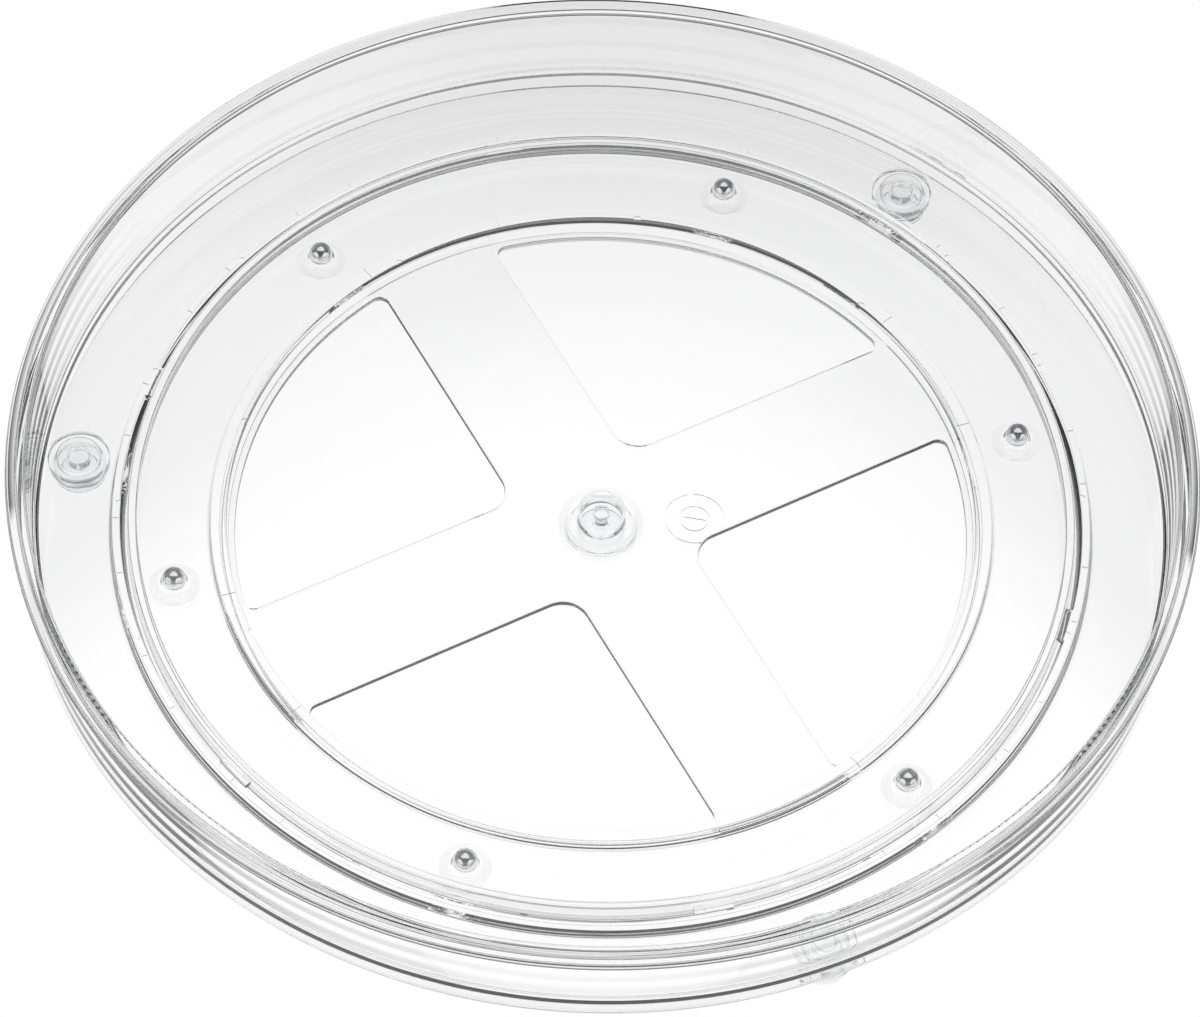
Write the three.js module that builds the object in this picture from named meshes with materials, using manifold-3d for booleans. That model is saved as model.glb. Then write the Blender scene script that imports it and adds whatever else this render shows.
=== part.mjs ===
// Clear moulded lazy susan turntable: a rimmed tray that turns on six steel balls in a
// spoked base, which stands on three outer feet and one centre foot.
// Millimetres, +Z up, origin at the centre of the surface that the feet stand on.
import * as THREE from 'three';
import { mergeVertices } from 'three/addons/utils/BufferGeometryUtils.js';
import Module from 'manifold-3d';

const wasm = await Module();
wasm.setup();

// ---- driving dimensions -------------------------------------------------------------
const GAP = 0.3;                    // clearance kept between touching pieces
const TRAY_RADIUS = 152.4;          // outside of the rim: a 12 inch turntable
const TRAY_HEIGHT = 41.5;           // top of the rim above the table
const RIM_WIDTH = 5.2;              // wall thickness at the rim
const RIM_DEPTH = 3.2;              // how far down the rim's outer band reaches
const RIM_LIP = 0.9;                // step between the raised inner bead and the outer band
const RIM_BEAD = 2.3;               // width of the raised inner bead
const RIM_OVERHANG = 2.8;           // how far the outer band stands out from the wall
const RIM_BEVEL = 0.4;
const SKIRT_RADIUS = 150.2;         // outside of the tray wall at its lower edge
const SKIRT_DROP = 3.0;             // how far the wall reaches below the tray floor
const WALL_INNER_RADIUS = 147.0;    // inner face of the tray wall at the floor
const FLOOR_THICKNESS = 2.2;        // tray floor
const FLOOR_FILLET = 2.0;           // between tray floor and wall

const BALL_RADIUS = 3.175;          // quarter inch steel ball
const BALL_CIRCLE_RADIUS = 112.7;
const BALL_COUNT = 6;
const BALL_CENTRE_HEIGHT = 12.0;
const BALL_START = THREE.MathUtils.degToRad(14.4);
const CUP_RADIUS = 4.2;             // low cone moulded round each ball: at its top
const CUP_FOOT = 6.6;               // and where it meets the race floor
const CUP_DROP = 1.2;               // cone top below the ball's centre
const POCKET_RADIUS = 3.6;          // upright pocket that keeps the ball in its place

const PLATE_BOTTOM = 2.6;           // spoked centre plate
const PLATE_TOP = 4.6;
const CUTOUT_RADIUS = 95.8;
const SPOKE_HALF_WIDTH = 17.0;
const SPOKE_START = THREE.MathUtils.degToRad(29.8);
const INNER_CORNER = 7.0;           // cut-out corner next to the hub
const OUTER_CORNER = 2.5;           // cut-out corners next to the ring

const RING_INNER_RADIUS = 97.5;     // inner wall of the ball race
const RING_LEDGE_RADIUS = 101.8;
const RING_TOP = 11.0;
const RACE_FLOOR_TOP = 9.2;
const RACE_FLOOR_BOTTOM = 7.2;
const RACE_WALL_FOOT = [124.0, 128.2];
const RACE_WALL_CREST = [125.2, 127.0];
const RACE_WALL_TOP = 14.2;
const FLANGE_RADIUS = 147.0;
const FLANGE_TOP = 9.8;
const FLANGE_BOTTOM = 7.8;

const GUIDE_RIB = [121.0, 122.7];   // rib under the tray that keeps it centred in the race
const GUIDE_BOTTOM = 10.2;
const BEAD_RADIUS = 123.5;          // bead on the rib that catches below the snap lugs
const BEAD_HEIGHT = 1.0;
const LUG_INNER_RADIUS = 123.15;
const LUG_BOTTOM = 12.7;
const LUG_ARC = THREE.MathUtils.degToRad(4.5);
const LUG_COUNT = 6;

const HUB_SKIRT = [11.1, 8.8];      // cone round the hub, at the plate and one step up
const HUB_STEP = 1.0;
const HUB_RADIUS = 6.2;
const HUB_TOP = 10.6;
const HUB_WELL_RADIUS = 5.6;
const HUB_WELL_BOTTOM = 5.6;
const HUB_BORE = 2.2;

const FOOT_COUNT = 3;
const FOOT_CIRCLE_RADIUS = 138.6;
const FOOT_START = THREE.MathUtils.degToRad(54.9);
const FOOT_RADIUS = 7.0;
const FOOT_PAD_TOP = 4.1;
const FOOT_BEVEL = 0.7;
const SOCKET_RADIUS = 8.1;          // boss round each outer foot
const SOCKET_BORE = 5.85;
const SOCKET_ROOF = 8.3;
const PLUG_TOP = 6.2;               // top of the foot's sleeve, with air left above it
const SPIGOT_RADIUS = 2.875;
const SPIGOT_BOTTOM = 4.9;
const CENTRE_FOOT_RADIUS = 8.8;
const CENTRE_STEM_RADIUS = 1.9;
const CENTRE_BARB_RADIUS = 2.45;
const CENTRE_STEM_TOP = 9.6;

// how finely round things are cut
const ROUND_LARGE = 96;
const ROUND_SMALL = 20;
const ROUND_CUP = 16;

// ---- helpers ------------------------------------------------------------------------
// A closed outline of [radius, height] pairs, anticlockwise, turned about +Z.
function turned(outline, segments, angle = 0, sweep = 2 * Math.PI) {
  const points = outline.map(([radius, height]) => new THREE.Vector2(radius, height));
  const geometry = new THREE.LatheGeometry(points, segments, angle, sweep);
  return geometry.rotateX(Math.PI / 2);
}

function arcPoints(cx, cy, rx, ry, from, to, steps) {
  return Array.from({ length: steps + 1 }, (_, i) => {
    const a = THREE.MathUtils.degToRad(from + (to - from) * i / steps);
    return [cx + rx * Math.cos(a), cy + ry * Math.sin(a)];
  });
}

function toSolid(geometry) {
  const bare = geometry.clone();
  bare.deleteAttribute('normal');
  bare.deleteAttribute('uv');
  const merged = mergeVertices(bare, 1e-4);
  const mesh = new wasm.Mesh({
    numProp: 3,
    vertProperties: new Float32Array(merged.attributes.position.array),
    triVerts: new Uint32Array(merged.index.array),
  });
  return new wasm.Manifold(mesh);
}

function toGeometry(solid) {
  const { vertProperties, triVerts } = solid.getMesh();
  const geometry = new THREE.BufferGeometry();
  geometry.setAttribute('position', new THREE.BufferAttribute(vertProperties, 3));
  geometry.setIndex(new THREE.BufferAttribute(triVerts, 1));
  geometry.computeVertexNormals();
  return geometry;
}

function cylinder(radius, bottom, top, segments = ROUND_SMALL) {
  return turned([[0, bottom], [radius, bottom], [radius, top], [0, top]], segments);
}

function at(geometry, radius, angle) {
  return geometry.translate(radius * Math.cos(angle), radius * Math.sin(angle), 0);
}

function ringAngles(count, start) {
  return Array.from({ length: count }, (_, i) => start + i * 2 * Math.PI / count);
}

// ---- tray ---------------------------------------------------------------------------
const TRAY_UNDERSIDE = BALL_CENTRE_HEIGHT + BALL_RADIUS + GAP;
const TRAY_FLOOR = TRAY_UNDERSIDE + FLOOR_THICKNESS;

function trayGeometry() {
  const lip = TRAY_HEIGHT - RIM_LIP;
  const band = TRAY_HEIGHT - RIM_DEPTH;
  const rimInner = TRAY_RADIUS - RIM_WIDTH;
  const skirtBottom = TRAY_UNDERSIDE - SKIRT_DROP;
  const [ribInner, ribOuter] = GUIDE_RIB;
  const outline = [
    [0, TRAY_UNDERSIDE],
    [ribInner, TRAY_UNDERSIDE],
    [ribInner, GUIDE_BOTTOM],
    [BEAD_RADIUS, GUIDE_BOTTOM],
    [BEAD_RADIUS, GUIDE_BOTTOM + BEAD_HEIGHT],
    [ribOuter, GUIDE_BOTTOM + BEAD_HEIGHT * 1.8],
    [ribOuter, TRAY_UNDERSIDE],
    [WALL_INNER_RADIUS - 0.4, TRAY_UNDERSIDE],
    [WALL_INNER_RADIUS + 0.2, skirtBottom],
    [SKIRT_RADIUS, skirtBottom],
    [TRAY_RADIUS - RIM_OVERHANG, band],
    [TRAY_RADIUS, band],
    [TRAY_RADIUS, lip - RIM_BEVEL],
    [TRAY_RADIUS - RIM_BEVEL, lip],
    [rimInner + RIM_BEAD + 0.2, lip],
    [rimInner + RIM_BEAD - 0.2, TRAY_HEIGHT],
    [rimInner + RIM_BEVEL, TRAY_HEIGHT],
    [rimInner, TRAY_HEIGHT - RIM_BEVEL],
    ...arcPoints(WALL_INNER_RADIUS - FLOOR_FILLET, TRAY_FLOOR + FLOOR_FILLET,
      FLOOR_FILLET, FLOOR_FILLET, 0, -90, 3),
    [0, TRAY_FLOOR],
  ];
  return turned(outline, ROUND_LARGE);
}

// ---- base ---------------------------------------------------------------------------
function baseRing() {
  const [footInner, footOuter] = RACE_WALL_FOOT;
  const [crestInner, crestOuter] = RACE_WALL_CREST;
  const outline = [
    [0, PLATE_BOTTOM],
    [RING_INNER_RADIUS + 1.6, PLATE_BOTTOM],
    [RING_INNER_RADIUS + 1.9, RACE_FLOOR_BOTTOM],
    [footInner - 1.0, RACE_FLOOR_BOTTOM],
    [footInner, FLANGE_BOTTOM],
    [FLANGE_RADIUS - 0.5, FLANGE_BOTTOM],
    [FLANGE_RADIUS, FLANGE_BOTTOM + 0.5],
    [FLANGE_RADIUS, FLANGE_TOP - 0.5],
    [FLANGE_RADIUS - 0.5, FLANGE_TOP],
    [footOuter, FLANGE_TOP],
    [crestOuter, RACE_WALL_TOP],
    [crestInner, RACE_WALL_TOP],
    [footInner, RACE_FLOOR_TOP],
    [RING_LEDGE_RADIUS + 0.8, RACE_FLOOR_TOP],
    [RING_LEDGE_RADIUS, RING_TOP],
    [RING_INNER_RADIUS + 0.3, RING_TOP],
    [RING_INNER_RADIUS, PLATE_TOP],
    [0, PLATE_TOP],
  ];
  return turned(outline, ROUND_LARGE);
}

// One quarter opening between two spokes, drawn with its spokes along +X and +Y.
function cutoutShape() {
  const edge = SPOKE_HALF_WIDTH;
  const inner = edge + INNER_CORNER;
  const reach = Math.sqrt((CUTOUT_RADIUS - OUTER_CORNER) ** 2 - (edge + OUTER_CORNER) ** 2);
  const turn = Math.atan2(edge + OUTER_CORNER, reach);
  const shape = new THREE.Shape();
  shape.absarc(inner, inner, INNER_CORNER, Math.PI, 1.5 * Math.PI, false);
  shape.absarc(reach, edge + OUTER_CORNER, OUTER_CORNER, -Math.PI / 2, turn, false);
  shape.absarc(0, 0, CUTOUT_RADIUS, turn, Math.PI / 2 - turn, false);
  shape.absarc(edge + OUTER_CORNER, reach, OUTER_CORNER, Math.PI / 2 - turn, Math.PI, false);
  shape.closePath();
  return shape;
}

function cutouts() {
  const depth = RING_TOP - PLATE_BOTTOM;
  return ringAngles(4, SPOKE_START).map((angle) => {
    const geometry = new THREE.ExtrudeGeometry(cutoutShape(), {
      depth, bevelEnabled: false, curveSegments: 8,
    });
    return geometry.translate(0, 0, PLATE_BOTTOM - depth / 2).rotateZ(angle);
  });
}

function hub() {
  const [skirtFoot, skirtTop] = HUB_SKIRT;
  const step = PLATE_TOP + HUB_STEP;
  return turned([
    [0, PLATE_BOTTOM],
    [skirtFoot, PLATE_BOTTOM],
    [skirtFoot, PLATE_TOP],
    [skirtTop, step],
    [HUB_RADIUS, step],
    [HUB_RADIUS, HUB_TOP],
    [HUB_WELL_RADIUS, HUB_TOP],
    [HUB_WELL_RADIUS, HUB_WELL_BOTTOM],
    [0, HUB_WELL_BOTTOM],
  ], ROUND_SMALL);
}

function snapLug(angle) {
  const [crestInner, crestOuter] = RACE_WALL_CREST;
  const inside = (crestInner + crestOuter) / 2;
  const outline = [
    [LUG_INNER_RADIUS, LUG_BOTTOM + 0.5],
    [inside, LUG_BOTTOM - 1.0],
    [inside, RACE_WALL_TOP],
    [LUG_INNER_RADIUS, RACE_WALL_TOP],
  ];
  const steps = 3;
  const half = LUG_ARC / 2;
  const ring = outline.flatMap(([radius, height]) => Array.from({ length: steps + 1 }, (_, i) => {
    const a = angle - half + LUG_ARC * i / steps;
    return new THREE.Vector3(radius * Math.cos(a), radius * Math.sin(a), height);
  }));
  return prismBetween(ring, outline.length, steps);
}

// Closed strip of quads: `sides` rows of `steps + 1` points each, capped at both ends.
function prismBetween(points, sides, steps) {
  const index = [];
  const id = (side, step) => (side % sides) * (steps + 1) + step;
  for (let side = 0; side < sides; side += 1) {
    for (let step = 0; step < steps; step += 1) {
      index.push(id(side, step), id(side + 1, step + 1), id(side + 1, step));
      index.push(id(side, step), id(side, step + 1), id(side + 1, step + 1));
    }
  }
  for (let side = 1; side < sides - 1; side += 1) {
    index.push(id(0, 0), id(side, 0), id(side + 1, 0));
    index.push(id(0, steps), id(side + 1, steps), id(side, steps));
  }
  const geometry = new THREE.BufferGeometry().setFromPoints(points);
  geometry.setIndex(index);
  return geometry;
}

// A low cone moulded round one ball, and the round pocket cut into it.
function ballCup() {
  const top = BALL_CENTRE_HEIGHT - CUP_DROP;
  return turned([
    [0, RACE_FLOOR_BOTTOM],
    [CUP_FOOT, RACE_FLOOR_BOTTOM],
    [CUP_FOOT, RACE_FLOOR_TOP],
    [CUP_RADIUS, top],
    [0, top],
  ], ROUND_CUP);
}

function ballPocket() {
  const bottom = BALL_CENTRE_HEIGHT - BALL_RADIUS - GAP;
  return cylinder(POCKET_RADIUS, bottom, BALL_CENTRE_HEIGHT, ROUND_CUP);
}

function footSocket() {
  return cylinder(SOCKET_RADIUS, FOOT_PAD_TOP + GAP, FLANGE_TOP);
}

function socketBore() {
  const bottom = FOOT_PAD_TOP - 1;
  return turned([
    [SPIGOT_RADIUS, bottom],
    [SOCKET_BORE, bottom],
    [SOCKET_BORE, SOCKET_ROOF],
    [SPIGOT_RADIUS, SOCKET_ROOF],
    [SPIGOT_RADIUS, bottom],
  ], ROUND_SMALL);
}

function spigotEnd() {
  return cylinder(SPIGOT_RADIUS + 1, FOOT_PAD_TOP - 1, SPIGOT_BOTTOM);
}

function baseGeometry() {
  let solid = toSolid(baseRing());
  const add = (geometry) => { solid = solid.add(toSolid(geometry)); };
  const cut = (geometry) => { solid = solid.subtract(toSolid(geometry)); };
  cutouts().forEach(cut);
  add(hub());
  cut(cylinder(HUB_BORE, PLATE_BOTTOM - 1, HUB_TOP, ROUND_CUP));
  const halfStep = Math.PI / BALL_COUNT;
  ringAngles(LUG_COUNT, BALL_START + halfStep).forEach((angle) => add(snapLug(angle)));
  for (const angle of ringAngles(BALL_COUNT, BALL_START)) {
    add(at(ballCup(), BALL_CIRCLE_RADIUS, angle));
    cut(at(ballPocket(), BALL_CIRCLE_RADIUS, angle));
  }
  for (const angle of ringAngles(FOOT_COUNT, FOOT_START)) {
    add(at(footSocket(), FOOT_CIRCLE_RADIUS, angle));
    cut(at(socketBore(), FOOT_CIRCLE_RADIUS, angle));
    cut(at(spigotEnd(), FOOT_CIRCLE_RADIUS, angle));
  }
  return toGeometry(solid);
}

// ---- balls and feet -----------------------------------------------------------------
function ballGeometry(angle) {
  const geometry = new THREE.SphereGeometry(BALL_RADIUS, ROUND_CUP, 10).rotateX(Math.PI / 2);
  return at(geometry, BALL_CIRCLE_RADIUS, angle).translate(0, 0, BALL_CENTRE_HEIGHT);
}

function outerFootGeometry(angle) {
  const plugRadius = SOCKET_BORE - GAP;
  const holeRadius = SPIGOT_RADIUS + GAP;
  const holeBottom = SPIGOT_BOTTOM - GAP;
  const geometry = turned([
    [0, 0],
    [FOOT_RADIUS - FOOT_BEVEL, 0],
    [FOOT_RADIUS, FOOT_BEVEL],
    [FOOT_RADIUS, FOOT_PAD_TOP],
    [plugRadius, FOOT_PAD_TOP],
    [plugRadius, PLUG_TOP],
    [holeRadius, PLUG_TOP],
    [holeRadius, holeBottom],
    [0, holeBottom],
  ], ROUND_SMALL);
  return at(geometry, FOOT_CIRCLE_RADIUS, angle);
}

function centreFootGeometry() {
  const barbBottom = HUB_WELL_BOTTOM + GAP;
  return turned([
    [0, 0],
    [CENTRE_FOOT_RADIUS - FOOT_BEVEL, 0],
    [CENTRE_FOOT_RADIUS, FOOT_BEVEL],
    [CENTRE_FOOT_RADIUS, PLATE_BOTTOM - GAP],
    [CENTRE_STEM_RADIUS, PLATE_BOTTOM - GAP],
    [CENTRE_STEM_RADIUS, barbBottom],
    [CENTRE_BARB_RADIUS, barbBottom + 0.2],
    [CENTRE_BARB_RADIUS - 0.3, CENTRE_STEM_TOP],
    [0, CENTRE_STEM_TOP],
  ], ROUND_SMALL);
}

// ---- materials ----------------------------------------------------------------------
function clearPlastic(color, roughness) {
  return new THREE.MeshStandardMaterial({
    color, roughness, metalness: 0, transparent: true, opacity: 0.35,
  });
}

const trayPlastic = clearPlastic(0xeef3f5, 0.05);
const basePlastic = clearPlastic(0xe6ecef, 0.08);
const footRubber = clearPlastic(0xdfe6e8, 0.3);
const ballSteel = new THREE.MeshStandardMaterial({ color: 0xc9ccd0, roughness: 0.1, metalness: 1 });

// ---- assembly -----------------------------------------------------------------------
function piece(name, geometry, material) {
  const mesh = new THREE.Mesh(geometry, material);
  mesh.name = name;
  return mesh;
}

const turntable = new THREE.Group();
turntable.add(piece('tray', trayGeometry(), trayPlastic));
turntable.add(piece('base', baseGeometry(), basePlastic));
ringAngles(BALL_COUNT, BALL_START).forEach((angle, i) => {
  turntable.add(piece(`ball_${i + 1}`, ballGeometry(angle), ballSteel));
});
ringAngles(FOOT_COUNT, FOOT_START).forEach((angle, i) => {
  turntable.add(piece(`outer_foot_${i + 1}`, outerFootGeometry(angle), footRubber));
});
turntable.add(piece('centre_foot', centreFootGeometry(), footRubber));

export default turntable;
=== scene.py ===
"""Clear moulded lazy susan turntable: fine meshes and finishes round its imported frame.

A clear tray turns on six steel balls, which sit in cups of a four-spoked base ring. The base
stands on three soft outer feet and on one centre foot that is pushed into its hub.
"""
import logging
import math
from dataclasses import dataclass, field
from enum import Enum
from typing import Any, Sequence

import bmesh
import bpy
from mathutils import Matrix, Vector


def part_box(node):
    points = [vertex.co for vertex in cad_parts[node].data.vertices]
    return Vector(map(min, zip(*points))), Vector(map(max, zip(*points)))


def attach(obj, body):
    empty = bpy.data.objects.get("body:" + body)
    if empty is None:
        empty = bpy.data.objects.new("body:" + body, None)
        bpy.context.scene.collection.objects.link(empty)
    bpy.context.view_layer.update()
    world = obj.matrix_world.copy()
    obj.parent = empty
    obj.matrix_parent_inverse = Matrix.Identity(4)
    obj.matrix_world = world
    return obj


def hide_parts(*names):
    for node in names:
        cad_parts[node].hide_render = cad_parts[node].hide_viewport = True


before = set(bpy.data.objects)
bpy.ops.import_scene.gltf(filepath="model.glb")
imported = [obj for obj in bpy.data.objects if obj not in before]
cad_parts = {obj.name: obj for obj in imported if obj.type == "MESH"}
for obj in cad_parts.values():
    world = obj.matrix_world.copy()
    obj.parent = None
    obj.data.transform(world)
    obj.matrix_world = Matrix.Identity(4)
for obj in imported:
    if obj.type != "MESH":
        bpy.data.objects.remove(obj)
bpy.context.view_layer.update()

MM = 0.001
FULL_TURN = 2 * math.pi
MERGE_DISTANCE = 1e-6
CRISP_ANGLE = math.radians(38)
LEVEL_NORMAL = 0.99999
log = logging.getLogger("turntable")

Outline = list[tuple[float, float]]


class Join(Enum):
    """How one solid is worked into another."""

    ADD = "UNION"
    CUT = "DIFFERENCE"


class Slot(Enum):
    """The record's material slots."""

    TRAY = "tray_plastic"
    BASE = "base_plastic"
    FOOT = "foot_elastomer"
    BALL = "ball_steel"


# ---- colours, nodes and objects -----------------------------------------------------
def linear(hex_colour: str) -> tuple[float, float, float, float]:
    """Turns an sRGB hex colour into a linear one.

    Args:
        hex_colour: six hex digits after a hash sign.

    Returns:
        Linear red, green, blue and a full alpha.
    """
    parts = [int(hex_colour[i:i + 2], 16) / 255 for i in (1, 3, 5)]
    lit = [c / 12.92 if c <= 0.04045 else ((c + 0.055) / 1.055) ** 2.4 for c in parts]
    return lit[0], lit[1], lit[2], 1.0


def add_node(tree: bpy.types.NodeTree, kind: str, values: dict[Any, Any] | None = None,
             links: dict[Any, Any] | None = None, **settings: Any) -> bpy.types.Node:
    """Adds one node to a tree.

    Args:
        tree: the tree that gets the node.
        kind: the node's type name.
        values: constant values by input name or number.
        links: output sockets by the input name or number that they feed.
        **settings: properties of the node itself.

    Returns:
        The new node.
    """
    node = tree.nodes.new(kind)
    for name, value in settings.items():
        setattr(node, name, value)
    for key, value in (values or {}).items():
        node.inputs[key].default_value = value
    for key, source in (links or {}).items():
        tree.links.new(source, node.inputs[key])
    return node


def maths(tree: bpy.types.NodeTree, operation: str, *terms: Any) -> bpy.types.NodeSocket:
    """Adds a math node whose inputs, in order, are sockets or numbers, and returns its output."""
    links = {i: term for i, term in enumerate(terms) if isinstance(term, bpy.types.NodeSocket)}
    values = {i: term for i, term in enumerate(terms) if i not in links}
    return add_node(tree, "ShaderNodeMath", values, links, operation=operation).outputs[0]


def empty_tree(owner: bpy.types.Material | bpy.types.World) -> bpy.types.ShaderNodeTree:
    """Gives a material or a world a node tree with nothing in it, and returns the tree."""
    owner.use_nodes = True
    owner.node_tree.nodes.clear()
    return owner.node_tree


def placed(name: str, data: bpy.types.Mesh | bpy.types.Camera) -> bpy.types.Object:
    """Makes an object in the scene and returns it."""
    thing = bpy.data.objects.new(name, data)
    bpy.context.scene.collection.objects.link(thing)
    return thing


# ---- outlines -----------------------------------------------------------------------
@dataclass(frozen=True)
class Corner:
    """One corner of a turned outline, in millimetres, with the radius that rounds it."""

    r: float
    z: float
    fillet: float = 0.0


def rounded(corners: Sequence[Corner], closed: bool = False, step: float = 15.0) -> Outline:
    """Rounds the corners of an outline with arcs.

    Args:
        corners: the corners in order, in millimetres.
        closed: whether the last corner is joined to the first.
        step: the largest turn between two points of an arc, in degrees.

    Returns:
        The outline's points in metres.
    """
    points: Outline = []
    count = len(corners)
    for i, corner in enumerate(corners):
        here = Vector((corner.r, corner.z))
        if corner.fillet <= 0 or (not closed and i in (0, count - 1)):
            points.append((here.x * MM, here.y * MM))
            continue
        before = Vector((corners[i - 1].r, corners[i - 1].z)) - here
        after = Vector((corners[(i + 1) % count].r, corners[(i + 1) % count].z)) - here
        half = before.angle(after) / 2
        reach = min(corner.fillet / math.tan(half), 0.48 * before.length, 0.48 * after.length)
        radius = reach * math.tan(half)
        inward = (before.normalized() + after.normalized()).normalized()
        middle = here + inward * radius / math.sin(half)
        first = here + before.normalized() * reach - middle
        turn = first.angle_signed(here + after.normalized() * reach - middle)
        steps = max(2, math.ceil(abs(math.degrees(turn)) / step))
        for k in range(steps + 1):
            spot = middle + Matrix.Rotation(-turn * k / steps, 2) @ first
            points.append((spot.x * MM, spot.y * MM))
    return points


# ---- geometry node trees ------------------------------------------------------------
@dataclass
class NodeTree:
    """A geometry node tree with named inputs, used through a modifier that is then applied."""

    name: str
    tree: bpy.types.GeometryNodeTree = field(init=False)
    source: bpy.types.Node = field(init=False)
    sockets: dict[str, str] = field(init=False, default_factory=dict)

    def __post_init__(self) -> None:
        """Starts the tree with one geometry input and one geometry output."""
        self.tree = bpy.data.node_groups.new(self.name, "GeometryNodeTree")
        self.add_input("Shape", "NodeSocketGeometry")
        self.tree.interface.new_socket("Result", in_out="OUTPUT", socket_type="NodeSocketGeometry")

    def add_input(self, name: str, kind: str) -> None:
        """Adds one named input to the tree's interface."""
        socket = self.tree.interface.new_socket(name, in_out="INPUT", socket_type=kind)
        self.sockets[name] = socket.identifier

    def end(self, geometry: bpy.types.NodeSocket) -> None:
        """Ends the tree in Realize Instances and Set Material.

        Args:
            geometry: the socket whose geometry is the result.
        """
        real = add_node(self.tree, "GeometryNodeRealizeInstances", links={"Geometry": geometry})
        dressed = add_node(self.tree, "GeometryNodeSetMaterial", links={
            "Geometry": real.outputs[0], "Material": self.source.outputs["Material"]})
        add_node(self.tree, "NodeGroupOutput", links={0: dressed.outputs[0]})

    def run(self, mesh: bpy.types.Mesh, **inputs: Any) -> bpy.types.Mesh:
        """Runs the tree on a mesh.

        Args:
            mesh: the shape that the tree starts from; it is used up.
            **inputs: values of the tree's inputs, with _ for each space in a name.

        Returns:
            The result as a new plain mesh.
        """
        holder = placed(self.name, mesh)
        modifier = holder.modifiers.new(self.name, "NODES")
        modifier.node_group = self.tree
        for name, value in inputs.items():
            modifier[self.sockets[name.replace("_", " ")]] = value
        return plain_mesh(holder)


def plain_mesh(holder: bpy.types.Object) -> bpy.types.Mesh:
    """Applies an object's modifiers and deletes the object.

    Args:
        holder: an object that is only there for its modifiers.

    Returns:
        Its evaluated mesh as a plain one.
    """
    bpy.context.view_layer.update()
    evaluated = holder.evaluated_get(bpy.context.evaluated_depsgraph_get())
    result = bpy.data.meshes.new_from_object(evaluated)
    old = holder.data
    bpy.data.objects.remove(holder)
    bpy.data.meshes.remove(old)
    return result


def turning_tree() -> NodeTree:
    """Builds the tree that turns an outline about the vertical axis.

    Returns:
        A tree with the inputs Path radius, Segments and Material.
    """
    made = NodeTree("turned_shape")
    made.add_input("Path radius", "NodeSocketFloat")
    made.add_input("Segments", "NodeSocketInt")
    made.add_input("Material", "NodeSocketMaterial")
    made.source = source = add_node(made.tree, "NodeGroupInput")
    profile = add_node(made.tree, "GeometryNodeMeshToCurve", links={0: source.outputs["Shape"]})
    path = add_node(made.tree, "GeometryNodeCurvePrimitiveCircle", mode="RADIUS", links={
        "Resolution": source.outputs["Segments"], "Radius": source.outputs["Path radius"]})
    swept = add_node(made.tree, "GeometryNodeCurveToMesh", links={
        "Curve": path.outputs["Curve"], "Profile Curve": profile.outputs[0]})
    closed = add_node(made.tree, "GeometryNodeMergeByDistance", values={"Distance": MERGE_DISTANCE},
                      links={"Geometry": swept.outputs[0]})
    made.end(closed.outputs[0])
    return made


def ring_tree() -> NodeTree:
    """Builds the tree that repeats a shape evenly round the vertical axis.

    Returns:
        A tree with the inputs Count, Start and Material.
    """
    made = NodeTree("ring_of_copies")
    made.add_input("Count", "NodeSocketInt")
    made.add_input("Start", "NodeSocketFloat")
    made.add_input("Material", "NodeSocketMaterial")
    made.source = source = add_node(made.tree, "NodeGroupInput")
    spots = add_node(made.tree, "GeometryNodeMeshLine", mode="OFFSET",
                     values={"Offset": (0.0, 0.0, 0.0)}, links={"Count": source.outputs["Count"]})
    index = add_node(made.tree, "GeometryNodeInputIndex")
    pitch = maths(made.tree, "DIVIDE", FULL_TURN, source.outputs["Count"])
    turn = maths(made.tree, "MULTIPLY_ADD", index.outputs[0], pitch, source.outputs["Start"])
    spin = add_node(made.tree, "ShaderNodeCombineXYZ", links={"Z": turn})
    copies = add_node(made.tree, "GeometryNodeInstanceOnPoints", links={
        "Points": spots.outputs[0], "Instance": source.outputs["Shape"],
        "Rotation": spin.outputs[0]})
    made.end(copies.outputs[0])
    return made


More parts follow.
